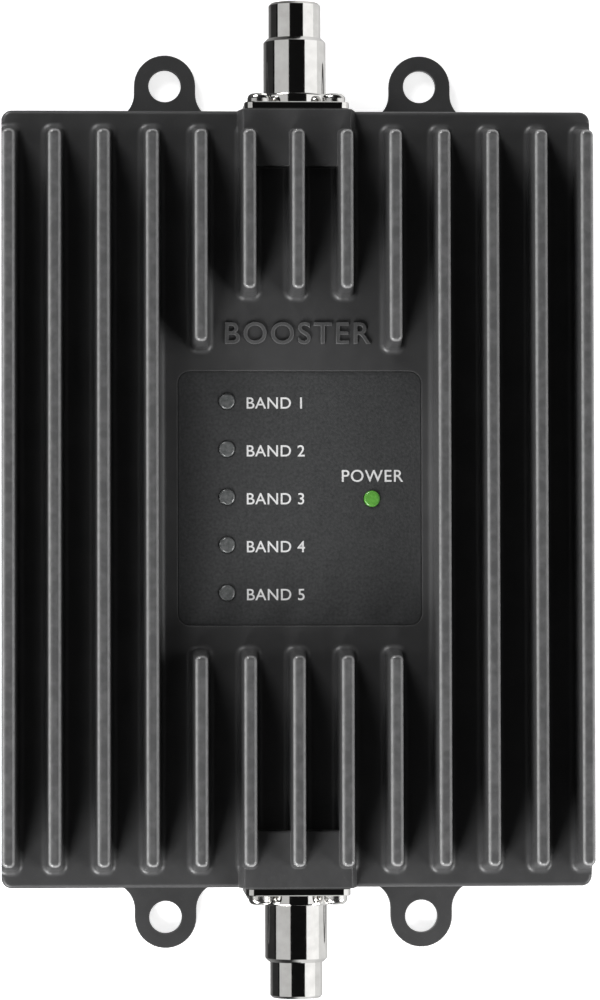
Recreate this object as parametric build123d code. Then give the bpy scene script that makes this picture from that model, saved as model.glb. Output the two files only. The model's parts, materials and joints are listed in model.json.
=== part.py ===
from build123d import *

import os

# Cellular signal booster: a finned die-cast case on a sheet back plate with four mounting ears, one
# coaxial panel jack in each end wall, a lamp panel in the finned face and the circuit board inside.
# Millimetres. The origin is the centre of the back plate's underside, +Z points out of the finned face
# and +Y points towards the outside-antenna jack.

# Case
CASE_WIDTH = 143.5
CASE_LENGTH = 188.8
CASE_CORNER = 2.5
BACK_PLATE = 2.0
DECK_Z = 23.5
DECK_THICKNESS = 3.0
DECK_EDGE_FILLET = 1.0
WALL = 5.5
CAVITY_CORNER = 3.0

# Fins
FIN_TOP_Z = 35.0
FIN_PITCH = 11.755
FIN_BASE_WIDTH = 4.3
FIN_TIP_WIDTH = 3.0
FIN_CORNER = 1.25
FIN_TIP_FILLET = 1.2
FIN_ROOT_FILLET = 1.5
FIN_FOOT_MARGIN = 0.05
FIN_END_Y = 90.3
FIN_END_INSET = 1.6
OUTER_FIN_FACE = 71.4
SIDE_STEP = 0.05
PANEL_FIN_TOP_Y = 36.1
CENTRE_FIN_TOP_Y = 48.9
PANEL_FIN_BOTTOM_Y = -36.6

# Raised tunnels that give the jack flanges a flat seat
TUNNEL_WIDTH = 28.6
TUNNEL_TOP_WIDTH = 26.3
TUNNEL_Z = 28.5
TUNNEL_LENGTH = 13.9
TUNNEL_FILLET = 0.5

# Bosses and heat pedestals inside the case
CASE_BOSS_RADIUS = 4.0
CASE_BOSS_INSET = 3.0
BOARD_BOSS_RADIUS = 3.2
PEDESTAL_SIZE = 16.0
PEDESTAL_CORNER = 1.5
OVERLAP = 0.5

# Seal in the rim of the wall
SEAL_INSET = 1.75
SEAL_WIDTH = 2.0
SEAL_DEPTH = 1.5
SEAL_CORNER = 1.5
SEAL_INNER_CORNER = 0.8

# Lamp panel
PANEL_X = 0.7
PANEL_WIDTH = 59.4
PANEL_LENGTH = 61.9
PANEL_CORNER = 3.0
PANEL_DEPTH = 0.8
OVERLAY_THICKNESS = 0.3
OVERLAY_GAP = 0.2
LAMP_COLUMN_X = -17.0
LAMP_MIDDLE_Y = 0.35
LAMP_PITCH = 11.65
LAMP_COUNT = 5
POWER_LAMP = (18.3, -0.1)
LENS_RADIUS = 1.95
LENS_DOME = 0.6
LENS_DOME_RIM = 0.02
LENS_SINK = 0.1
LENS_CLEARANCE = 0.05
LENS_RING = 0.2
LENS_LAMP_GAP = 0.3
LENS_COLLAR_RADIUS = 2.7
LENS_COLLAR = 1.2

# Mounting ears on the back plate
EAR_X = 31.65
EAR_Y = 102.9
EAR_RADIUS = 7.6
EAR_HOLE_RADIUS = 4.0
EAR_ROOT_FILLET = 6.5

# Rating label in a recess under the back plate
LABEL_WIDTH = 64.0
LABEL_LENGTH = 40.0
LABEL_Y = -30.0
LABEL_CORNER = 2.0
LABEL_RECESS = 0.3
LABEL_THICKNESS = 0.15
LABEL_GAP = 0.3

# Coaxial panel jacks, measured along the jack's axis from the origin
JACK_Z = 15.2
FLANGE_SIZE = 25.4
FLANGE_CORNER = 2.4
FLANGE_THICKNESS = 1.6
FLANGE_GASKET = 0.3
FLANGE_SCREW_OFFSET = 9.12
HUB_RADIUS = 8.9
HUB_END = 98.9
BARREL_RADIUS = 7.65
BARREL_END = 112.9
NOSE_RADIUS = 6.4
NOSE_END = 121.7
NOSE_CHAMFER = 0.6
BARREL_CHAMFER = 0.9
HUB_FILLET = 0.4
FLANGE_CHAMFER = 0.2
SOCKET_RADIUS = 4.2
INSULATOR_END = 108.0
CONTACT_RADIUS = 1.5
CONTACT_END = 117.5
CONTACT_BORE_RADIUS = 0.85
CONTACT_SLIT_WIDTH = 0.35
CONTACT_SLIT_LENGTH = 6.0
CONTACT_SHOULDER = 1.5
CONTACT_TAIL_RADIUS = 0.8
CONTACT_TAIL_END = 79.5
SPIGOT_RADIUS = 5.5

# Circuit board
BOARD_WIDTH = 116.0
BOARD_LENGTH = 168.0
BOARD_THICKNESS = 1.6
BOARD_CORNER = 2.0
BOARD_TOP_Z = JACK_Z - CONTACT_TAIL_RADIUS
BOARD_LOW_Z = BOARD_TOP_Z - BOARD_THICKNESS
BOARD_SCREW_X = 52.0
BOARD_SCREW_Y = 76.0

# Components on the board: width, length, height, then the place of their middle
CHIPS = {
    "microcontroller": (10.0, 10.0, 1.2, 2.0, 8.0),
    "reference_crystal": (5.0, 3.2, 1.1, 2.0, 20.0),
    "voltage_regulator": (6.5, 6.1, 2.3, 2.0, -14.0),
    "uplink_amplifier": (12.0, 12.0, 1.3, 34.0, 50.0),
    "downlink_amplifier": (12.0, 12.0, 1.3, -34.0, -50.0),
}
THERMAL_PAD = 0.6
SHIELD_CANS = {
    "uplink": (32.0, 38.0, -32.0, 50.0),
    "downlink": (32.0, 38.0, 32.0, -50.0),
    "detector": (16.0, 24.0, 36.0, 0.0),
}
SHIELD_WALL = 0.3
SHIELD_HEIGHT = 4.5
SHIELD_CORNER = 0.8
SHIELD_VENT_RADIUS = 0.9
FILTER_WIDTH = 30.0
FILTER_LENGTH = 13.0
FILTER_HEIGHT = 5.2
FILTER_Y = 68.0
FILTER_BORE_RADIUS = 1.0
FILTER_BORE_PITCH = 5.2
INDUCTOR_SIZE = 10.0
INDUCTOR_HEIGHT = 5.0
INDUCTOR_Y = -66.0
CAPACITOR_RADIUS = 4.0
CAPACITOR_HEIGHT = 9.5
CAPACITOR_Y = -52.0
SUPPLY_X = (24.0, 10.0)

# Surface-mount lamps under the lens rods
LAMP_SIZE = 3.2
LAMP_HEIGHT = 1.1
LAMP_LENS_RADIUS = 1.2
LAMP_LENS = 0.5

# M3 screws
SCREW_RADIUS = 1.5
SCREW_CLEARANCE = 0.1
PAN_HEAD_RADIUS = 2.8
PAN_HEAD = 2.2
DOME_FILLET = 1.3
CROSS_LENGTH = 3.2
CROSS_WIDTH = 0.8
CROSS_DEPTH = 1.2
FLAT_HEAD_RADIUS = 2.8
FLAT_HEAD = 1.6
FLAT_HEAD_TAPER = 38
FLAT_HEAD_RECESS = 0.1
FLANGE_SCREW_LENGTH = 7.0
CASE_SCREW_LENGTH = 9.0
BOARD_SCREW_LENGTH = 7.0

# Direct-current inlet in the bottom end wall
INLET_X = 40.0
INLET_MOUTH_RECESS = 0.3
INLET_Z = 7.6
INLET_WIDTH = 9.0
INLET_LENGTH = 13.0
INLET_NOSE_RADIUS = 4.0
INLET_BORE_RADIUS = 3.0
INLET_BORE_DEPTH = 10.0
INLET_PIN_RADIUS = 1.0
INLET_PIN_RECESS = 1.5
INLET_SPRING_WIDTH = 2.4
INLET_SPRING_LENGTH = 7.0
INLET_SPRING_THICKNESS = 0.3
INLET_SPRING_GAP = 2.25

HALF_WIDTH = CASE_WIDTH / 2
END_Y = CASE_LENGTH / 2
CEILING_Z = DECK_Z - DECK_THICKNESS
FLANGE_FACE = END_Y + FLANGE_GASKET + FLANGE_THICKNESS
INNER_END_Y = END_Y - WALL
BOSS_X = HALF_WIDTH - WALL - CASE_BOSS_INSET
BOSS_Y = INNER_END_Y - CASE_BOSS_INSET
CASE_SCREWS = [(x, y) for x in (-BOSS_X, BOSS_X) for y in (-BOSS_Y, 0.0, BOSS_Y)]
BOARD_SCREWS = [(x, y) for x in (-BOARD_SCREW_X, BOARD_SCREW_X) for y in (-BOARD_SCREW_Y, 0.0, BOARD_SCREW_Y)]
FLANGE_SCREWS = [
    (x, z)
    for x in (-FLANGE_SCREW_OFFSET, FLANGE_SCREW_OFFSET)
    for z in (JACK_Z - FLANGE_SCREW_OFFSET, JACK_Z + FLANGE_SCREW_OFFSET)
]
BAND_LAMPS = [
    (LAMP_COLUMN_X, LAMP_MIDDLE_Y + (LAMP_COUNT // 2 - row) * LAMP_PITCH) for row in range(LAMP_COUNT)
]
LENSES = BAND_LAMPS + [POWER_LAMP]
AMPLIFIERS = {name: CHIPS[name + "_amplifier"] for name in ("uplink", "downlink")}


def block(width, length, low, high, x=0.0, y=0.0, corner=0.0):
    """An upright block between two heights, with rounded vertical edges if corner is given."""
    outline = RectangleRounded(width, length, corner) if corner else Rectangle(width, length)
    return Pos(x, y, low) * extrude(outline, high - low)


def post(radius, low, high, x=0.0, y=0.0):
    """An upright cylinder between two heights."""
    return Pos(x, y, low) * extrude(Circle(radius), high - low)


def rod(radius, near, far, x=0.0, z=JACK_Z):
    """A cylinder along Y between two distances from the origin."""
    return Pos(x, near, z) * Rot(-90, 0, 0) * extrude(Circle(radius), far - near)


def tile(width, height, corner, near, far):
    """A square-on plate across the jack's axis between two distances from the origin."""
    outline = RectangleRounded(width, height, corner)
    return Pos(0, near, JACK_Z) * Rot(-90, 0, 0) * extrude(outline, far - near)


def top_edges(solid):
    return solid.faces().sort_by(Axis.Z)[-1].edges()


def bottom_edges(solid):
    return solid.faces().sort_by(Axis.Z)[0].edges()


def far_edges(solid):
    return solid.faces().sort_by(Axis.Y)[-1].edges()


def pan_screw(length):
    """A pan-head cross-recess screw along Z, with its head above z = 0."""
    head = post(PAN_HEAD_RADIUS, 0, PAN_HEAD)
    head = fillet(top_edges(head), DOME_FILLET)
    slot = block(CROSS_LENGTH, CROSS_WIDTH, PAN_HEAD - CROSS_DEPTH, PAN_HEAD + 1)
    head -= slot + Rot(0, 0, 90) * slot
    return head + post(SCREW_RADIUS, -length, 0)


def flat_screw(length):
    """A countersunk cross-recess screw along Z, with the face of its head at z = 0 and its tip above."""
    head = extrude(Circle(FLAT_HEAD_RADIUS), FLAT_HEAD, taper=FLAT_HEAD_TAPER)
    slot = block(CROSS_LENGTH, CROSS_WIDTH, -1, CROSS_DEPTH)
    return head + post(SCREW_RADIUS, FLAT_HEAD / 2, length) - (slot + Rot(0, 0, 90) * slot)


def fin(base_x, tip_x, low, high):
    """One cooling fin: a drafted blade with rounded ends, edges and root, between two Y positions."""
    length = high - low
    half = length / 2
    half_base = FIN_BASE_WIDTH / 2
    half_tip = FIN_TIP_WIDTH / 2
    across = Polygon(
        (base_x - half_base, DECK_Z), (base_x + half_base, DECK_Z),
        (tip_x + half_tip, FIN_TOP_Z), (tip_x - half_tip, FIN_TOP_Z), align=None,
    )
    along = Polygon(
        (-half, DECK_Z), (half, DECK_Z), (half - FIN_END_INSET, FIN_TOP_Z), (FIN_END_INSET - half, FIN_TOP_Z),
        align=None,
    )
    blade = Rot(90, 0, 0) * extrude(across, half, both=True)
    blade &= Rot(90, 0, 0) * Rot(0, 90, 0) * extrude(along, CASE_WIDTH, both=True)
    corners = [edge for edge in blade.edges() if DECK_Z + 1 < edge.center().Z < FIN_TOP_Z - 1]
    blade = fillet(corners, FIN_CORNER)
    blade = fillet(top_edges(blade), FIN_TIP_FILLET)
    margin = FIN_ROOT_FILLET + FIN_FOOT_MARGIN
    foot_width = FIN_BASE_WIDTH + 2 * margin
    foot_length = length + 2 * margin
    foot_low = DECK_Z - 2 * DECK_EDGE_FILLET
    foot = block(foot_width, foot_length, foot_low, DECK_Z, base_x, 0, FIN_CORNER + margin)
    blade += foot
    root = [
        edge
        for edge in blade.edges()
        if abs(edge.center().Z - DECK_Z) < 0.001
        and abs(edge.center().X - base_x) < FIN_BASE_WIDTH / 2 + 0.01
        and abs(edge.center().Y) < length / 2 + 0.01
    ]
    blade = fillet(root, FIN_ROOT_FILLET)
    return Pos(0, (low + high) / 2, 0) * blade


def fins():
    """Thirteen fins: four full ones each side, and five in the middle that stop short of the lamp panel."""
    blades = []
    outer_base = HALF_WIDTH - FIN_BASE_WIDTH / 2
    outer_tip = OUTER_FIN_FACE - FIN_TIP_WIDTH / 2
    side_limit = block(CASE_WIDTH - 2 * SIDE_STEP, CASE_LENGTH, 0, FIN_TOP_Z + 1)
    for side in (-1, 1):
        blades.append(fin(side * outer_base, side * outer_tip, -FIN_END_Y, FIN_END_Y) & side_limit)
    for place in range(-5, 6):
        x = place * FIN_PITCH
        if abs(place) > 2:
            blades.append(fin(x, x, -FIN_END_Y, FIN_END_Y))
            continue
        top = PANEL_FIN_TOP_Y if abs(place) == 2 else CENTRE_FIN_TOP_Y
        blades.append(fin(x, x, top, FIN_END_Y))
        blades.append(fin(x, x, -FIN_END_Y, PANEL_FIN_BOTTOM_Y))
    return blades


def tunnel():
    """The raised seat over one jack, at the +Y end."""
    half = TUNNEL_WIDTH / 2
    half_top = TUNNEL_TOP_WIDTH / 2
    outline = Polygon(
        (-half, CEILING_Z), (half, CEILING_Z), (half, DECK_Z), (half_top, TUNNEL_Z),
        (-half_top, TUNNEL_Z), (-half, DECK_Z), align=None,
    )
    raised = Pos(0, END_Y, 0) * Rot(90, 0, 0) * extrude(outline, TUNNEL_LENGTH)
    ridge = [edge for edge in top_edges(raised) if edge.center().Y < END_Y - 1]
    return fillet(ridge, TUNNEL_FILLET)


def seal_groove():
    """The band in the wall's rim that holds the seal."""
    width = CASE_WIDTH - 2 * SEAL_INSET
    length = CASE_LENGTH - 2 * SEAL_INSET
    top = BACK_PLATE + SEAL_DEPTH
    band = block(width, length, BACK_PLATE, top, corner=SEAL_CORNER)
    inner_width = width - 2 * SEAL_WIDTH
    inner_length = length - 2 * SEAL_WIDTH
    return band - block(inner_width, inner_length, BACK_PLATE, top, corner=SEAL_INNER_CORNER)


def jack_openings():
    """What one jack needs cut from its end wall: the spigot's hole and four blind screw holes."""
    cut = rod(SPIGOT_RADIUS + SCREW_CLEARANCE, INNER_END_Y - 1, END_Y + 1)
    tip = FLANGE_FACE - FLANGE_SCREW_LENGTH - SCREW_CLEARANCE
    for x, z in FLANGE_SCREWS:
        cut += rod(SCREW_RADIUS + SCREW_CLEARANCE, tip, END_Y + 1, x, z)
    return cut


def finned_housing():
    shell = block(CASE_WIDTH, CASE_LENGTH, BACK_PLATE, DECK_Z, corner=CASE_CORNER)
    shell = fillet(top_edges(shell), DECK_EDGE_FILLET)
    raised = tunnel()
    shell += [raised, Rot(0, 0, 180) * raised]
    shell += fins()
    cavity_width = CASE_WIDTH - 2 * WALL
    cavity_length = CASE_LENGTH - 2 * WALL
    shell -= block(cavity_width, cavity_length, BACK_PLATE - 1, CEILING_Z, corner=CAVITY_CORNER)
    boss_top = CEILING_Z + OVERLAP
    shell += [post(CASE_BOSS_RADIUS, BACK_PLATE, boss_top, x, y) for x, y in CASE_SCREWS]
    shell += [post(BOARD_BOSS_RADIUS, BOARD_TOP_Z, boss_top, x, y) for x, y in BOARD_SCREWS]
    for _, _, height, x, y in AMPLIFIERS.values():
        foot = BOARD_TOP_Z + height + THERMAL_PAD
        shell += block(PEDESTAL_SIZE, PEDESTAL_SIZE, foot, boss_top, x, y, PEDESTAL_CORNER)
    hole = SCREW_RADIUS + SCREW_CLEARANCE
    case_tip = FLAT_HEAD_RECESS + CASE_SCREW_LENGTH + SCREW_CLEARANCE
    board_tip = BOARD_LOW_Z + BOARD_SCREW_LENGTH + SCREW_CLEARANCE
    shell -= [post(hole, BACK_PLATE - 1, case_tip, x, y) for x, y in CASE_SCREWS]
    shell -= [post(hole, BOARD_TOP_Z - 1, board_tip, x, y) for x, y in BOARD_SCREWS]
    shell -= block(PANEL_WIDTH, PANEL_LENGTH, DECK_Z - PANEL_DEPTH, DECK_Z + 1, PANEL_X, 0, PANEL_CORNER)
    lens_hole = LENS_RADIUS + LENS_CLEARANCE
    shell -= [post(lens_hole, CEILING_Z - 1, DECK_Z, x, y) for x, y in LENSES]
    shell -= seal_groove()
    openings = jack_openings()
    shell -= [openings, Rot(0, 0, 180) * openings]
    shell -= rod(INLET_NOSE_RADIUS + 0.2, -END_Y - 1, -INNER_END_Y + 1, INLET_X, INLET_Z)
    return shell


def ear_outline():
    """Back plate outline: the case's rectangle and four rounded ears, flared where they leave it."""
    outline = RectangleRounded(CASE_WIDTH, CASE_LENGTH, CASE_CORNER)
    reach = EAR_Y - END_Y
    for x in (-EAR_X, EAR_X):
        for side in (-1, 1):
            outline += Pos(x, side * (END_Y + reach / 2 - 1), 0) * Rectangle(2 * EAR_RADIUS, reach + 2)
            outline += Pos(x, side * EAR_Y, 0) * Circle(EAR_RADIUS)
    roots = [
        corner
        for corner in outline.vertices()
        if abs(abs(corner.Y) - END_Y) < 0.01 and abs(abs(abs(corner.X) - EAR_X) - EAR_RADIUS) < 0.01
    ]
    return fillet(roots, EAR_ROOT_FILLET)


def back_plate():
    plate = extrude(ear_outline(), BACK_PLATE)
    plate -= [
        post(EAR_HOLE_RADIUS, -1, BACK_PLATE + 1, x, y)
        for x in (-EAR_X, EAR_X)
        for y in (-EAR_Y, EAR_Y)
    ]
    sink_radius = FLAT_HEAD_RADIUS + SCREW_CLEARANCE
    sink = post(sink_radius, -1, FLAT_HEAD_RECESS)
    sink += Pos(0, 0, FLAT_HEAD_RECESS) * extrude(Circle(sink_radius), FLAT_HEAD, taper=FLAT_HEAD_TAPER)
    sink += post(SCREW_RADIUS + SCREW_CLEARANCE, 0, BACK_PLATE + 1)
    plate -= [Pos(x, y, 0) * sink for x, y in CASE_SCREWS]
    return plate - block(LABEL_WIDTH, LABEL_LENGTH, -1, LABEL_RECESS, 0, LABEL_Y, LABEL_CORNER)


def rating_label():
    width = LABEL_WIDTH - 2 * LABEL_GAP
    length = LABEL_LENGTH - 2 * LABEL_GAP
    face = LABEL_RECESS - LABEL_THICKNESS
    return block(width, length, face, LABEL_RECESS, 0, LABEL_Y, LABEL_CORNER - LABEL_GAP)


def label_overlay():
    floor = DECK_Z - PANEL_DEPTH
    width = PANEL_WIDTH - 2 * OVERLAY_GAP
    length = PANEL_LENGTH - 2 * OVERLAY_GAP
    film = block(width, length, floor, floor + OVERLAY_THICKNESS, PANEL_X, 0, PANEL_CORNER - OVERLAY_GAP)
    return film - [post(LENS_RADIUS + LENS_RING, floor - 1, DECK_Z, x, y) for x, y in LENSES]


def lamp(x, y):
    """One surface-mount lamp: a square carrier with a round lens on it."""
    top = BOARD_TOP_Z + LAMP_HEIGHT
    lens = fillet(top_edges(post(LAMP_LENS_RADIUS, top, top + LAMP_LENS, x, y)), LAMP_LENS * 0.8)
    return block(LAMP_SIZE, LAMP_SIZE, BOARD_TOP_Z, top, x, y, 0.3) + lens


def light_pipe(x, y):
    """A lens rod from just above its lamp to a shallow dome at the panel, with a collar under the deck."""
    shoulder = DECK_Z - PANEL_DEPTH + OVERLAY_THICKNESS - LENS_SINK
    bottom = BOARD_TOP_Z + LAMP_HEIGHT + LAMP_LENS + LENS_LAMP_GAP
    pipe = post(LENS_RADIUS, bottom, shoulder + LENS_DOME, x, y)
    pipe = fillet(top_edges(pipe), LENS_DOME - LENS_DOME_RIM)
    return pipe + post(LENS_COLLAR_RADIUS, CEILING_Z - LENS_COLLAR, CEILING_Z, x, y)


def jack_pieces():
    """The pieces of one coaxial panel jack at the +Y end."""
    gasket_face = END_Y + FLANGE_GASKET
    body = tile(FLANGE_SIZE, FLANGE_SIZE, FLANGE_CORNER, gasket_face, FLANGE_FACE)
    body = chamfer(far_edges(body), FLANGE_CHAMFER)
    hub = rod(HUB_RADIUS, FLANGE_FACE - OVERLAP, HUB_END)
    body += fillet(far_edges(hub), HUB_FILLET)
    barrel = rod(BARREL_RADIUS, FLANGE_FACE, BARREL_END)
    body += chamfer(far_edges(barrel), BARREL_CHAMFER)
    nose = rod(NOSE_RADIUS, FLANGE_FACE, NOSE_END)
    body += chamfer(far_edges(nose), NOSE_CHAMFER)
    body += rod(SPIGOT_RADIUS, INNER_END_Y, gasket_face + OVERLAP)
    body -= rod(SOCKET_RADIUS, INNER_END_Y - 1, NOSE_END + 1)
    gasket = tile(FLANGE_SIZE, FLANGE_SIZE, FLANGE_CORNER, END_Y, gasket_face)
    gasket -= rod(SPIGOT_RADIUS + SCREW_CLEARANCE, END_Y - 1, gasket_face + 1)
    for x, z in FLANGE_SCREWS:
        clearance = rod(SCREW_RADIUS + SCREW_CLEARANCE, END_Y - 1, FLANGE_FACE + 1, x, z)
        body -= clearance
        gasket -= clearance
    insulator = rod(SOCKET_RADIUS, INNER_END_Y, INSULATOR_END)
    insulator -= rod(CONTACT_RADIUS, INNER_END_Y - 1, INSULATOR_END + 1)
    contact_start = INNER_END_Y - CONTACT_SHOULDER
    contact = rod(CONTACT_RADIUS, contact_start, CONTACT_END)
    contact -= rod(CONTACT_BORE_RADIUS, INSULATOR_END + 1, CONTACT_END + 1)
    slit = Box(CONTACT_SLIT_WIDTH, 2 * CONTACT_SLIT_LENGTH, 3 * CONTACT_RADIUS)
    contact -= [Pos(0, CONTACT_END, JACK_Z) * Rot(0, turn, 0) * slit for turn in (0, 90)]
    contact += rod(CONTACT_TAIL_RADIUS, CONTACT_TAIL_END, contact_start + OVERLAP)
    screw = Rot(-90, 0, 0) * pan_screw(FLANGE_SCREW_LENGTH)
    screws = Compound(children=[Pos(x, FLANGE_FACE, z) * screw for x, z in FLANGE_SCREWS])
    return {
        "jack_body": body,
        "jack_gasket": gasket,
        "jack_insulator": insulator,
        "jack_centre_contact": contact,
        "jack_flange_screws": screws,
    }


def main_board():
    board = block(BOARD_WIDTH, BOARD_LENGTH, BOARD_LOW_Z, BOARD_TOP_Z, corner=BOARD_CORNER)
    hole = SCREW_RADIUS + SCREW_CLEARANCE
    return board - [post(hole, BOARD_LOW_Z - 1, BOARD_TOP_Z + 1, x, y) for x, y in BOARD_SCREWS]


def shield_can(width, length, x, y):
    """A folded tin can, open towards the board, with vent holes in its lid."""
    top = BOARD_TOP_Z + SHIELD_HEIGHT
    can = block(width, length, BOARD_TOP_Z, top, x, y, SHIELD_CORNER)
    inner_width = width - 2 * SHIELD_WALL
    inner_length = length - 2 * SHIELD_WALL
    inner_corner = SHIELD_CORNER - SHIELD_WALL
    can -= block(inner_width, inner_length, BOARD_TOP_Z - 1, top - SHIELD_WALL, x, y, inner_corner)
    columns = [x + (step - 1) * width / 4 for step in range(3)]
    rows = [y + (step - 1) * length / 4 for step in range(3)]
    return can - [post(SHIELD_VENT_RADIUS, top - 1, top + 1, column, row) for column in columns for row in rows]


def chip(width, length, height, x, y):
    """A moulded package on the board's upper face, with bevelled top edges."""
    package = block(width, length, BOARD_TOP_Z, BOARD_TOP_Z + height, x, y, 0.2)
    return chamfer(top_edges(package), 0.15)


def band_filter(y):
    """A ceramic block filter next to one jack, with a row of resonator bores."""
    filter_block = chip(FILTER_WIDTH, FILTER_LENGTH, FILTER_HEIGHT, 0, y)
    middle = BOARD_TOP_Z + FILTER_HEIGHT / 2
    near = y - FILTER_LENGTH
    far = y + FILTER_LENGTH
    bores = [rod(FILTER_BORE_RADIUS, near, far, place * FILTER_BORE_PITCH, middle) for place in range(-2, 3)]
    return filter_block - bores


def inductor(x):
    """A moulded power inductor that hangs from the board's lower face."""
    low = BOARD_LOW_Z - INDUCTOR_HEIGHT
    body = block(INDUCTOR_SIZE, INDUCTOR_SIZE, low, BOARD_LOW_Z, x, INDUCTOR_Y, 1.5)
    return chamfer(bottom_edges(body), 0.4)


def capacitor(x):
    """An electrolytic can that hangs from the board's lower face."""
    can = post(CAPACITOR_RADIUS, BOARD_LOW_Z - CAPACITOR_HEIGHT, BOARD_LOW_Z, x, CAPACITOR_Y)
    return fillet(bottom_edges(can), 0.5)


def inlet_pieces():
    """The direct-current inlet: moulded shell, centre pin and side spring."""
    rear = -INNER_END_Y + SCREW_CLEARANCE
    middle = rear + INLET_LENGTH / 2
    mouth = -END_Y + INLET_MOUTH_RECESS
    low = BACK_PLATE + INLET_MOUTH_RECESS
    shell = block(INLET_WIDTH, INLET_LENGTH, low, BOARD_LOW_Z, INLET_X, middle, 0.5)
    shell += rod(INLET_NOSE_RADIUS, mouth, rear + 1, INLET_X, INLET_Z)
    bottom = mouth + INLET_BORE_DEPTH
    shell -= rod(INLET_BORE_RADIUS, mouth - 1, bottom, INLET_X, INLET_Z)
    pin = rod(INLET_PIN_RADIUS, mouth + INLET_PIN_RECESS, bottom, INLET_X, INLET_Z)
    tip = pin.faces().sort_by(Axis.Y)[0].edges()
    pin = fillet(tip, INLET_PIN_RADIUS * 0.7)
    spring_top = INLET_Z - INLET_SPRING_GAP
    spring_low = spring_top - INLET_SPRING_THICKNESS
    spring_y = bottom - INLET_SPRING_LENGTH / 2
    spring = block(INLET_SPRING_WIDTH, INLET_SPRING_LENGTH, spring_low, spring_top, INLET_X, spring_y)
    return {"dc_inlet_shell": shell, "dc_inlet_pin": pin, "dc_inlet_spring": spring}


def circuit_pieces():
    """Everything soldered to the board."""
    pieces = {name: chip(*size_and_place) for name, size_and_place in CHIPS.items()}
    for name, size_and_place in SHIELD_CANS.items():
        pieces[name + "_shield_can"] = shield_can(*size_and_place)
    for name, (width, length, height, x, y) in AMPLIFIERS.items():
        low = BOARD_TOP_Z + height
        pieces[name + "_thermal_pad"] = block(width, length, low, low + THERMAL_PAD, x, y, 0.5)
    pieces["outside_band_filter"] = band_filter(FILTER_Y)
    pieces["inside_band_filter"] = band_filter(-FILTER_Y)
    for number, x in enumerate(SUPPLY_X, start=1):
        pieces[f"power_inductor_{number}"] = inductor(x)
    pieces["input_capacitor"] = capacitor(SUPPLY_X[0])
    pieces["output_capacitor"] = capacitor(SUPPLY_X[1])
    for row, (x, y) in enumerate(BAND_LAMPS, start=1):
        pieces[f"band_lamp_{row}"] = lamp(x, y)
    pieces["power_lamp"] = lamp(*POWER_LAMP)
    return pieces


def panel_pieces():
    pieces = {f"band_light_pipe_{row}": light_pipe(x, y) for row, (x, y) in enumerate(BAND_LAMPS, start=1)}
    pieces["power_light_pipe"] = light_pipe(*POWER_LAMP)
    pieces["label_overlay"] = label_overlay()
    return pieces


def screw_groups():
    case_screw = flat_screw(CASE_SCREW_LENGTH)
    board_screw = Rot(180, 0, 0) * pan_screw(BOARD_SCREW_LENGTH)
    return {
        "back_plate_screws": Compound(
            children=[Pos(x, y, FLAT_HEAD_RECESS) * case_screw for x, y in CASE_SCREWS]
        ),
        "board_screws": Compound(children=[Pos(x, y, BOARD_LOW_Z) * board_screw for x, y in BOARD_SCREWS]),
    }


def assembly():
    """Every piece of the booster, by node name."""
    nodes = {
        "finned_housing": finned_housing(),
        "back_plate": back_plate(),
        "case_seal": seal_groove(),
        "rating_label": rating_label(),
        "main_board": main_board(),
    }
    nodes.update(panel_pieces())
    nodes.update(circuit_pieces())
    nodes.update(screw_groups())
    nodes.update(inlet_pieces())
    for name, piece in jack_pieces().items():
        nodes["outside_" + name] = piece
        nodes["inside_" + name] = Rot(0, 0, 180) * piece
    return nodes


os.makedirs("parts", exist_ok=True)
for node, shape in assembly().items():
    export_step(shape, f"parts/{node}.step")
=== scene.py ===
import json
import math

import bpy
from mathutils import Matrix, Vector


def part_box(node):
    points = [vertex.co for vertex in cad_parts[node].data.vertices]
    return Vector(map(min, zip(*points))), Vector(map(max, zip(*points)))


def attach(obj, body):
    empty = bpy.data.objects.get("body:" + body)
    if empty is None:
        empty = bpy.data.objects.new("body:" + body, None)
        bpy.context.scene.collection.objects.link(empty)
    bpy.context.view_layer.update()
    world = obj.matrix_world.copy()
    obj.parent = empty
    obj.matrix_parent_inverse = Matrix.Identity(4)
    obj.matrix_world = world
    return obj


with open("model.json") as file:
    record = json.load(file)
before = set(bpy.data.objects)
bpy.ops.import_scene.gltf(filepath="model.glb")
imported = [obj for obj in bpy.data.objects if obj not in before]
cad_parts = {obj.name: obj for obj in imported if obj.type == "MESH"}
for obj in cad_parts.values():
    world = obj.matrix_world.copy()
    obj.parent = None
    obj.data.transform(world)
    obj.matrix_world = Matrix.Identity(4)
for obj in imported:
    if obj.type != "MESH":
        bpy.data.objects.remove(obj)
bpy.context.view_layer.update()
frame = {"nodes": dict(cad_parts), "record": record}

# Metres, in the model's own frame: +Z out of the finned face, +Y towards the outside-antenna jack.
NODES = frame["nodes"]
MM = 0.001

scene = bpy.context.scene
scene.view_settings.view_transform = "Standard"


# ---------------------------------------------------------------- camera, floor and light

CAMERA_PLACE = Vector((-0.0528, -0.0284, 1.1288))
CAMERA_TARGET = Vector((0.0, 0.0, 0.015))
CAMERA_ROLL = -0.002
CAMERA_LENS = 163.9
CAMERA_SENSOR = 36.0
CAMERA_SHIFT = (0.0047, -0.0008)
CAMERA_CLIP = (0.01, 20.0)


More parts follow.
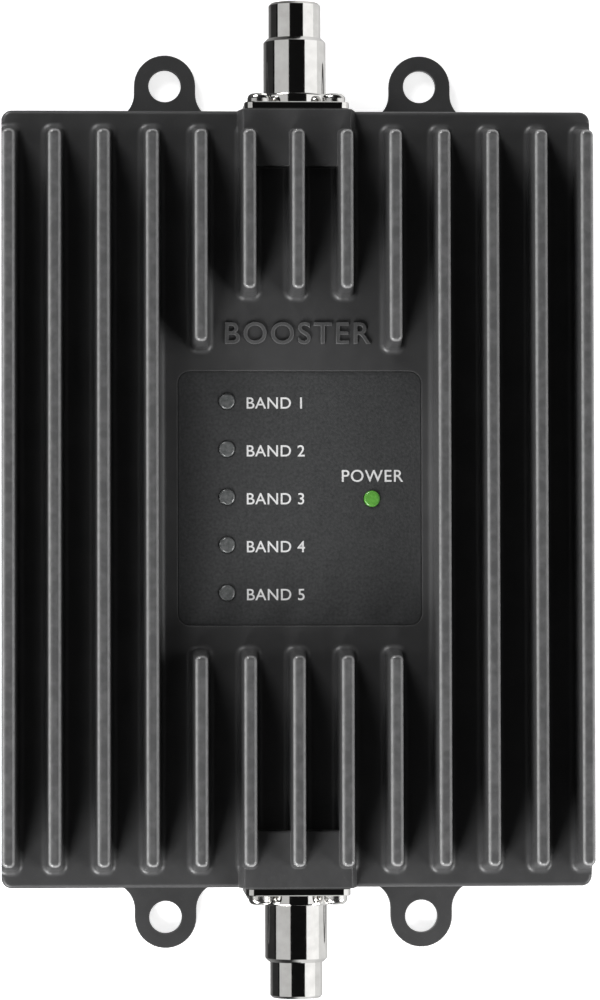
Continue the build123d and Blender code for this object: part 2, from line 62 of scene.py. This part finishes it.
def add_camera():
    """A long lens almost straight above the finned face, a little to the left of and below its middle."""
    data = bpy.data.cameras.new("camera")
    data.lens = CAMERA_LENS
    data.sensor_width = CAMERA_SENSOR
    data.shift_x, data.shift_y = CAMERA_SHIFT
    data.clip_start, data.clip_end = CAMERA_CLIP
    camera = bpy.data.objects.new("camera", data)
    scene.collection.objects.link(camera)
    aim = (CAMERA_TARGET - CAMERA_PLACE).normalized()
    right = aim.cross(Vector((0.0, 1.0, 0.0))).normalized()
    upright = Matrix((right, right.cross(aim), -aim)).transposed() @ Matrix.Rotation(CAMERA_ROLL, 3, "Z")
    camera.matrix_world = Matrix.Translation(CAMERA_PLACE) @ upright.to_4x4()
    scene.camera = camera


# Softboxes one metre from the booster's middle: azimuth from +X towards +Y and elevation in degrees, then
# width, height and power. Low boxes rake across the fins, and the two tall panels show in the bright jacks.
SOFTBOXES = {
    "near_left_softbox": (240, 20, 0.42, 0.36, 11.9),
    "far_left_softbox": (120, 20, 0.42, 0.36, 7.0),
    "near_right_softbox": (330, 20, 0.42, 0.36, 6.0),
    "left_softbox": (210, 20, 0.36, 0.36, 2.4),
    "left_panel": (180, 37, 0.60, 1.10, 1.3),
    "right_panel": (0, 27, 0.60, 1.02, 2.3),
}
LIGHT_TARGET = Vector((0.0, 0.0, 0.02))


def add_softbox(name, azimuth, elevation, width, height, power):
    """An area light one metre from the target, facing it."""
    data = bpy.data.lights.new(name, "AREA")
    data.shape = "RECTANGLE"
    data.size = width
    data.size_y = height
    data.energy = power
    light = bpy.data.objects.new(name, data)
    scene.collection.objects.link(light)
    around = math.radians(azimuth)
    up = math.radians(elevation)
    outward = Vector((math.cos(around) * math.cos(up), math.sin(around) * math.cos(up), math.sin(up)))
    light.location = LIGHT_TARGET + outward
    light.rotation_euler = outward.to_track_quat("Z", "Y").to_euler()


def add_world(lit, mirrored, seen):
    """A surround for each kind of ray: dim on matt surfaces, near black in bright ones, pale to the camera."""
    world = bpy.data.worlds.new("surround")
    world.use_nodes = True
    tree = world.node_tree
    path = tree.nodes.new("ShaderNodeLightPath")
    shown = tree.nodes["Background"]
    shown.inputs["Strength"].default_value = lit
    shown.inputs["Color"].default_value = (1.0, 1.0, 1.0, 1.0)
    for ray, strength in (("Is Glossy Ray", mirrored), ("Is Camera Ray", seen)):
        other = tree.nodes.new("ShaderNodeBackground")
        other.inputs["Strength"].default_value = strength
        other.inputs["Color"].default_value = (1.0, 1.0, 1.0, 1.0)
        mix = tree.nodes.new("ShaderNodeMixShader")
        tree.links.new(path.outputs[ray], mix.inputs[0])
        tree.links.new(shown.outputs[0], mix.inputs[1])
        tree.links.new(other.outputs[0], mix.inputs[2])
        shown = mix
    tree.links.new(shown.outputs[0], tree.nodes["World Output"].inputs["Surface"])
    scene.world = world


FLOOR_HALF = 4.0
FLOOR_GLOW = 0.75
DARK_CARD = (0.03, 0.03, 0.03, 1.0)
PALE_CARD = (0.85, 0.85, 0.85, 1.0)
CARD_SEAM = 0.03


def add_floor():
    """A white plane under the back plate. Bright metal mirrors its left half dark and its right half pale."""
    corners = [(x * FLOOR_HALF, y * FLOOR_HALF, 0) for x, y in ((-1, -1), (1, -1), (1, 1), (-1, 1))]
    mesh = bpy.data.meshes.new("floor")
    mesh.from_pydata(corners, [], [(0, 1, 2, 3)])
    floor = bpy.data.objects.new("floor", mesh)
    scene.collection.objects.link(floor)
    material = Finish("pale_floor", roughness=0.9, Emission_Strength=FLOOR_GLOW)
    material.shader.inputs["Emission Color"].default_value = (1.0, 1.0, 1.0, 1.0)
    material.tint(material.noise(4 * MM, detail=3), (0.90, 0.90, 0.90), (0.93, 0.93, 0.93))
    across = material.node("SeparateXYZ")
    material.link(material.place, across.inputs["Vector"])
    cards = material.node("Mix", data_type="RGBA")
    cards.inputs["A"].default_value = DARK_CARD
    cards.inputs["B"].default_value = PALE_CARD
    seam = material.spread(across.outputs["X"], 0.0, 1.0, -CARD_SEAM, CARD_SEAM)
    material.link(seam, cards.inputs["Factor"])
    mirrored = material.node("Emission")
    material.link(cards.outputs["Result"], mirrored.inputs["Color"])
    path = material.node("LightPath")
    seen = material.node("MixShader")
    material.link(path.outputs["Is Glossy Ray"], seen.inputs[0])
    material.link(material.shader.outputs["BSDF"], seen.inputs[1])
    material.link(mirrored.outputs["Emission"], seen.inputs[2])
    material.link(seen.outputs["Shader"], material.tree.nodes["Material Output"].inputs["Surface"])
    mesh.materials.append(material.done())


# ---------------------------------------------------------------- materials

FIN_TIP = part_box("finned_housing")[1].z

# A wave texture has 20 / tau lines in one unit at a scale of 1.
WAVE_SCALE = math.tau / 20.0

# Where the powder coat is worn: at edges. Painted highlight on each fin's tip: paler on the shoulders below
# the tip, and a little less pale on the flat of the tip.
RUBBED_RADIUS = 0.6 * MM
RUBBED_GREY = (0.18, 0.18, 0.18)
SHOULDER_DEPTHS = (1.1 * MM, 0.5 * MM)
SHOULDER_HIGHLIGHT_GREY = (0.27, 0.27, 0.27)
SHOULDER_GLOSS = 0.5
CROWN_DEPTHS = (0.3 * MM, 0.08 * MM)
CROWN_HIGHLIGHT_GREY = (0.085, 0.085, 0.086)
SPECK_LIFT = 1.35

# How far light travels inside a lens
LENS_SCATTER = 1 * MM


class Finish:
    """A Principled material whose colour, roughness and bump come from procedural textures in metres."""

    def __init__(self, name, roughness, metallic=0.0, **constants):
        self.material = bpy.data.materials.new(name)
        self.material.use_nodes = True
        self.tree = self.material.node_tree
        self.shader = self.tree.nodes["Principled BSDF"]
        self.shader.inputs["Roughness"].default_value = roughness
        self.shader.inputs["Metallic"].default_value = metallic
        for socket, value in constants.items():
            self.shader.inputs[socket.replace("_", " ")].default_value = value
        self.place = self.tree.nodes.new("ShaderNodeTexCoord").outputs["Object"]
        self.normal = None

    def node(self, kind, **settings):
        made = self.tree.nodes.new("ShaderNode" + kind)
        for key, value in settings.items():
            setattr(made, key, value)
        return made

    def link(self, source, target):
        self.tree.links.new(source, target)

    def stretched(self, stretch):
        mapping = self.node("Mapping")
        mapping.inputs["Scale"].default_value = stretch
        self.link(self.place, mapping.inputs["Vector"])
        return mapping.outputs["Vector"]

    def noise(self, size, detail=2.0, stretch=(1.0, 1.0, 1.0)):
        """Noise whose features are about the given size across."""
        texture = self.node("TexNoise")
        texture.inputs["Scale"].default_value = 1.0 / size
        texture.inputs["Detail"].default_value = detail
        self.link(self.stretched(stretch), texture.inputs["Vector"])
        return texture.outputs["Fac"]

    def cells(self, size):
        """Distance from the middle of the nearest cell, for cells of about the given size."""
        texture = self.node("TexVoronoi")
        texture.inputs["Scale"].default_value = 1.0 / size
        self.link(self.place, texture.inputs["Vector"])
        return texture.outputs["Distance"]

    def height(self):
        """Height above the back plate's underside."""
        split = self.node("SeparateXYZ")
        self.link(self.place, split.inputs["Vector"])
        return split.outputs["Z"]

    def near_tip(self, tip, none, full):
        """Rises from 0 to 1 between the depths none and full below the tip."""
        return self.spread(self.height(), 0.0, 1.0, tip - none, tip - full)

    def bands(self, pitch, axis, distortion):
        """Wavering lines at the given pitch across an axis."""
        texture = self.node("TexWave", wave_type="BANDS", bands_direction=axis)
        texture.inputs["Scale"].default_value = WAVE_SCALE / pitch
        texture.inputs["Distortion"].default_value = distortion
        self.link(self.place, texture.inputs["Vector"])
        return texture.outputs["Fac"]

    def spread(self, value, low, high, start=0.3, end=0.7):
        """Maps the range from start to end onto low to high."""
        ranged = self.node("MapRange")
        ranged.inputs["From Min"].default_value = start
        ranged.inputs["From Max"].default_value = end
        ranged.inputs["To Min"].default_value = low
        ranged.inputs["To Max"].default_value = high
        self.link(value, ranged.inputs["Value"])
        return ranged.outputs["Result"]

    def multiply(self, first, second):
        made = self.node("Math", operation="MULTIPLY")
        self.link(first, made.inputs[0])
        self.link(second, made.inputs[1])
        return made.outputs[0]

    def tint(self, value, dark, light, start=0.3, end=0.7):
        """Colours the surface from dark to light as the texture rises."""
        mix = self.node("Mix", data_type="RGBA")
        mix.inputs["A"].default_value = (*dark, 1.0)
        mix.inputs["B"].default_value = (*light, 1.0)
        self.link(self.spread(value, 0.0, 1.0, start, end), mix.inputs["Factor"])
        return self.paint(mix.outputs["Result"])

    def over(self, base, value, colour, start=0.3, end=0.7):
        """Lays a colour over a base where the texture is high."""
        mix = self.node("Mix", data_type="RGBA")
        self.link(base, mix.inputs["A"])
        mix.inputs["B"].default_value = (*colour, 1.0)
        self.link(self.spread(value, 0.0, 1.0, start, end), mix.inputs["Factor"])
        return self.paint(mix.outputs["Result"])

    def paint(self, colour):
        self.link(colour, self.shader.inputs["Base Color"])
        return colour

    def roughen(self, value, low, high, start=0.3, end=0.7):
        self.link(self.spread(value, low, high, start, end), self.shader.inputs["Roughness"])

    def bump(self, value, height):
        """Adds relief of the given height, on top of any before it."""
        made = self.node("Bump")
        made.inputs["Strength"].default_value = 1.0
        made.inputs["Distance"].default_value = height
        self.link(value, made.inputs["Height"])
        if self.normal is not None:
            self.link(self.normal, made.inputs["Normal"])
        self.normal = made.outputs["Normal"]

    def edges(self, radius):
        """High where the surface turns within the given radius, as on a worn edge."""
        rounded = self.node("Bevel", samples=4)
        rounded.inputs["Radius"].default_value = radius
        plain = self.node("NewGeometry")
        dot = self.node("VectorMath", operation="DOT_PRODUCT")
        self.link(rounded.outputs["Normal"], dot.inputs[0])
        self.link(plain.outputs["Normal"], dot.inputs[1])
        turned = self.node("Math", operation="SUBTRACT")
        turned.inputs[0].default_value = 1.0
        self.link(dot.outputs["Value"], turned.inputs[1])
        return turned.outputs[0]

    def done(self):
        if self.normal is not None:
            self.link(self.normal, self.shader.inputs["Normal"])
        return self.material


def powder_coat(name, dark, light, fin_tip=None):
    """Satin dark grey powder coat with fine orange peel, slight blotches and paler rubbed edges.

    Given the height of the fins' tips, it also has a painted highlight there: paler, glossier shoulders and a
    crown paler than the coat but darker than the shoulders.
    """
    finish = Finish(name, roughness=0.42, Specular_IOR_Level=0.5)
    blotches = finish.noise(9 * MM, detail=4)
    colour = finish.tint(blotches, dark, light)
    specks = finish.noise(0.35 * MM, detail=2)
    colour = finish.over(colour, specks, [value * SPECK_LIFT for value in light], 0.62, 0.85)
    rubbed = finish.multiply(finish.edges(RUBBED_RADIUS), finish.noise(3 * MM, detail=5))
    colour = finish.over(colour, rubbed, RUBBED_GREY, 0.02, 0.12)
    gloss = finish.spread(finish.noise(1.2 * MM, detail=3), 0.36, 0.48)
    if fin_tip:
        # Painted highlight on the fin tips: pale shoulders and a less pale crown, broken into noise patches.
        shoulder = finish.near_tip(fin_tip, *SHOULDER_DEPTHS)
        patches = finish.spread(finish.noise(1.8 * MM, detail=4), 0.75, 1.0, 0.35, 0.6)
        colour = finish.over(colour, finish.multiply(shoulder, patches), SHOULDER_HIGHLIGHT_GREY, 0.0, 1.0)
        crown = finish.near_tip(fin_tip, *CROWN_DEPTHS)
        patches = finish.spread(finish.noise(2.6 * MM, detail=4), 0.8, 1.0, 0.35, 0.6)
        finish.over(colour, finish.multiply(crown, patches), CROWN_HIGHLIGHT_GREY, 0.0, 1.0)
        gloss = finish.multiply(gloss, finish.spread(shoulder, 1.0, SHOULDER_GLOSS, 0.0, 1.0))
    finish.link(gloss, finish.shader.inputs["Roughness"])
    finish.bump(finish.noise(0.45 * MM, detail=2), 0.012 * MM)
    finish.bump(finish.noise(2.5 * MM, detail=2), 0.02 * MM)
    return finish.done()


def overlay_film():
    """Matt dark printed film with a fine pebbled face."""
    finish = Finish("overlay_film", roughness=0.55, Specular_IOR_Level=0.4)
    finish.tint(finish.noise(0.7 * MM, detail=3), (0.036, 0.037, 0.038), (0.060, 0.061, 0.062))
    finish.roughen(finish.noise(2 * MM), 0.48, 0.6)
    finish.bump(finish.cells(0.45 * MM), 0.03 * MM)
    return finish.done()


def ink():
    finish = Finish("legend_ink", roughness=0.5)
    finish.tint(finish.noise(0.4 * MM, detail=3), (0.74, 0.74, 0.74), (0.86, 0.86, 0.86))
    finish.bump(finish.noise(0.15 * MM), 0.003 * MM)
    return finish.done()


def bright_nickel(name, roughness):
    """Polished nickel plate over turned brass, with faint turning marks and a few dull patches."""
    finish = Finish(name, roughness=roughness, metallic=1.0)
    finish.tint(finish.noise(3 * MM, detail=4), (0.70, 0.69, 0.67), (0.80, 0.79, 0.77))
    finish.roughen(finish.noise(1.5 * MM, detail=4), roughness * 0.8, roughness * 1.4)
    finish.bump(finish.noise(0.12 * MM, stretch=(0.05, 1.0, 0.05)), 0.0008 * MM)
    return finish.done()


def zinc():
    finish = Finish("zinc_plate", roughness=0.32, metallic=1.0)
    finish.tint(finish.noise(1.5 * MM, detail=4), (0.46, 0.47, 0.48), (0.62, 0.62, 0.60))
    finish.roughen(finish.noise(0.6 * MM, detail=3), 0.26, 0.42)
    finish.bump(finish.noise(0.2 * MM), 0.004 * MM)
    return finish.done()


def plain_plastic(name, dark, light, roughness, grain, relief, **constants):
    """Moulded plastic, rubber or film: mottled colour, uneven gloss and a fine grain."""
    finish = Finish(name, roughness=roughness, **constants)
    finish.tint(finish.noise(grain * 4, detail=3), dark, light)
    finish.roughen(finish.noise(grain * 2), roughness * 0.85, min(1.0, roughness * 1.15))
    finish.bump(finish.noise(grain, detail=2), relief)
    return finish.done()


def gold():
    finish = Finish("gold_plate", roughness=0.22, metallic=1.0)
    finish.tint(finish.noise(0.8 * MM, detail=3), (0.78, 0.54, 0.20), (0.92, 0.70, 0.32))
    finish.roughen(finish.noise(0.5 * MM, detail=3), 0.16, 0.3)
    finish.bump(finish.noise(0.12 * MM), 0.002 * MM)
    return finish.done()


def circuit_board():
    """Green solder mask over copper runs, with tinned vias."""
    finish = Finish("solder_mask", roughness=0.3, Coat_Weight=0.3, Coat_Roughness=0.15)
    runs = finish.bands(1.6 * MM, "X", distortion=3.0)
    colour = finish.tint(runs, (0.012, 0.10, 0.045), (0.02, 0.17, 0.08), 0.45, 0.55)
    vias = finish.cells(3.2 * MM)
    finish.over(colour, finish.spread(vias, 1.0, 0.0, 0.05, 0.09), (0.55, 0.54, 0.48), 0.4, 0.6)
    finish.roughen(finish.noise(1 * MM), 0.24, 0.36)
    finish.bump(runs, 0.02 * MM)
    return finish.done()


def shield_tin():
    finish = Finish("tin_plate", roughness=0.3, metallic=1.0)
    finish.tint(finish.noise(2 * MM, detail=5), (0.58, 0.58, 0.56), (0.74, 0.74, 0.72))
    finish.roughen(finish.noise(0.8 * MM, stretch=(1.0, 0.08, 1.0)), 0.22, 0.4)
    finish.bump(finish.noise(0.3 * MM, stretch=(1.0, 0.08, 1.0)), 0.003 * MM)
    return finish.done()


def lens(name, dark, light, glow=None, strength=0.0):
    """A diffusing lens rod: cloudy colour under a glossy face."""
    finish = Finish(name, roughness=0.22, Coat_Weight=0.6, Coat_Roughness=0.08, Subsurface_Weight=0.15)
    finish.shader.inputs["Subsurface Radius"].default_value = (LENS_SCATTER, LENS_SCATTER, LENS_SCATTER)
    finish.tint(finish.noise(0.9 * MM, detail=2), dark, light)
    finish.roughen(finish.noise(0.5 * MM), 0.18, 0.3)
    finish.bump(finish.noise(0.25 * MM), 0.003 * MM)
    if glow:
        finish.shader.inputs["Emission Color"].default_value = (*glow, 1.0)
        finish.shader.inputs["Emission Strength"].default_value = strength
    return finish.done()


def all_materials():
    """One material for each of the record's material slots."""
    return {
        "cast_housing": powder_coat("powder_coat_case", (0.052, 0.052, 0.053), (0.066, 0.066, 0.067), FIN_TIP),
        "painted_plate": powder_coat("powder_coat_plate", (0.056, 0.056, 0.057), (0.070, 0.070, 0.071)),
        "zinc_screw": zinc(),
        "nickel_screw": bright_nickel("nickel_screw", 0.2),
        "nickel_shell": bright_nickel("nickel_shell", 0.07),
        "ptfe": plain_plastic("ptfe", (0.80, 0.80, 0.78), (0.88, 0.88, 0.86), 0.5, 0.3 * MM, 0.004 * MM),
        "gold_contact": gold(),
        "seal_rubber": plain_plastic(
            "seal_rubber", (0.012, 0.012, 0.012), (0.022, 0.022, 0.022), 0.7, 0.2 * MM, 0.01 * MM
        ),
        "overlay_film": overlay_film(),
        "rating_label": plain_plastic(
            "rating_label", (0.55, 0.56, 0.57), (0.66, 0.67, 0.68), 0.38, 0.5 * MM, 0.004 * MM, Metallic=0.4
        ),
        "lens_grey": lens("smoke_lens", (0.10, 0.105, 0.105), (0.17, 0.175, 0.175)),
        "lens_green": lens(
            "green_lens", (0.07, 0.22, 0.035), (0.12, 0.34, 0.06), (0.16, 0.55, 0.07), 0.22
        ),
        "lamp_body": plain_plastic(
            "lamp_body", (0.7, 0.68, 0.58), (0.82, 0.8, 0.7), 0.3, 0.3 * MM, 0.003 * MM
        ),
        "lamp_lit": lens("lit_lamp", (0.3, 0.8, 0.2), (0.4, 0.95, 0.3), (0.3, 1.0, 0.2), 2.0),
        "circuit_board": circuit_board(),
        "shield_tin": shield_tin(),
        "filter_ceramic": plain_plastic(
            "filter_ceramic", (0.60, 0.50, 0.38), (0.76, 0.66, 0.52), 0.35, 0.4 * MM, 0.006 * MM
        ),
        "chip_black": plain_plastic(
            "chip_epoxy", (0.018, 0.018, 0.019), (0.032, 0.032, 0.034), 0.5, 0.15 * MM, 0.006 * MM
        ),
        "capacitor_can": plain_plastic(
            "capacitor_can", (0.5, 0.51, 0.53), (0.64, 0.65, 0.67), 0.3, 0.3 * MM, 0.003 * MM, Metallic=1.0
        ),
        "inlet_plastic": plain_plastic(
            "inlet_plastic", (0.014, 0.014, 0.014), (0.026, 0.026, 0.026), 0.45, 0.25 * MM, 0.008 * MM
        ),
        "thermal_pad": plain_plastic(
            "thermal_pad", (0.36, 0.44, 0.52), (0.46, 0.54, 0.62), 0.8, 0.3 * MM, 0.01 * MM
        ),
    }


def dress_nodes(materials):
    """Gives every carried-over node its slot's material, on every material slot that its mesh has."""
    slots = {part["node"]: part["material_slot"] for part in frame["record"]["subparts"]}
    for name, node in NODES.items():
        material = materials[slots[name]]
        if not node.material_slots:
            node.data.materials.append(material)
        for slot in node.material_slots:
            slot.material = material


# ---------------------------------------------------------------- lettering

INK_THICKNESS = 0.02 * MM
INK_SPREAD = 0.032 * MM
LEGEND_CAP = 2.75 * MM
LEGEND_GAP = 1.85 * MM
LEGEND_DROP = 0.4 * MM
LEGEND_SPACING = 1.06
BAND_COUNT = 5
POWER_CAP = LEGEND_CAP * 1.05
POWER_RISE = 5.6 * MM
POWER_SPACING = 1.10
RELIEF_CAP = 5.2 * MM
RELIEF_HEIGHT = 0.32 * MM
RELIEF_BEVEL = 0.1 * MM
RELIEF_SPACING = 1.15
RELIEF_Y = 40.3 * MM
PANEL_RECESS = 0.5 * MM
FONT_CAP = 0.70  # height of a capital in the default font, for a size of 1


def lettering(name, words, place, cap, align, thickness, bevel, material, spacing=1.0, weight=0.0):
    """Upright words lying in the XY plane, with their capitals cap high and centred on place in Y."""
    data = bpy.data.curves.new(name, "FONT")
    data.body = words
    data.align_x = align
    data.size = cap / FONT_CAP
    data.space_character = spacing
    data.offset = weight
    data.extrude = thickness / 2
    data.bevel_depth = bevel
    data.bevel_resolution = 2
    data.materials.append(material)
    piece = bpy.data.objects.new(name, data)
    scene.collection.objects.link(piece)
    piece.location = (place[0], place[1] - cap / 2, place[2] + thickness / 2)
    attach(piece, "root")


def middle(node):
    low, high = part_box(node)
    return (low + high) / 2


def add_lettering(materials):
    """Generic legends printed beside each lamp, and a plain word cast in relief above the panel."""
    print_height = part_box("label_overlay")[1].z
    white = ink()
    for row in range(1, BAND_COUNT + 1):
        lamp = middle(f"band_light_pipe_{row}")
        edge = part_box(f"band_light_pipe_{row}")[1].x
        place = (edge + LEGEND_GAP, lamp.y - LEGEND_DROP, print_height)
        lettering(
            f"legend_band_{row}", f"BAND {row}", place, LEGEND_CAP, "LEFT", INK_THICKNESS, 0.0, white,
            LEGEND_SPACING, INK_SPREAD,
        )
    lamp = middle("power_light_pipe")
    place = (lamp.x, lamp.y + POWER_RISE, print_height)
    lettering(
        "legend_power", "POWER", place, POWER_CAP, "CENTER", INK_THICKNESS, 0.0, white,
        POWER_SPACING, INK_SPREAD,
    )
    # The raised word gets a paler copy of the case's powder coat: painted light that offsets the shade the
    # letters cast.
    relief_coat_painted_light = powder_coat("powder_coat_relief_painted_light", (0.075, 0.075, 0.076), (0.10, 0.10, 0.101))
    place = (0.0, RELIEF_Y, print_height + PANEL_RECESS)
    lettering(
        "cast_word", "BOOSTER", place, RELIEF_CAP, "CENTER", RELIEF_HEIGHT, RELIEF_BEVEL, relief_coat_painted_light,
        RELIEF_SPACING,
    )


# ---------------------------------------------------------------- making

add_camera()
add_world(lit=0.05, mirrored=0.006, seen=1.0)
add_floor()
for name, softbox in SOFTBOXES.items():
    add_softbox(name, *softbox)
materials = all_materials()
dress_nodes(materials)
add_lettering(materials)
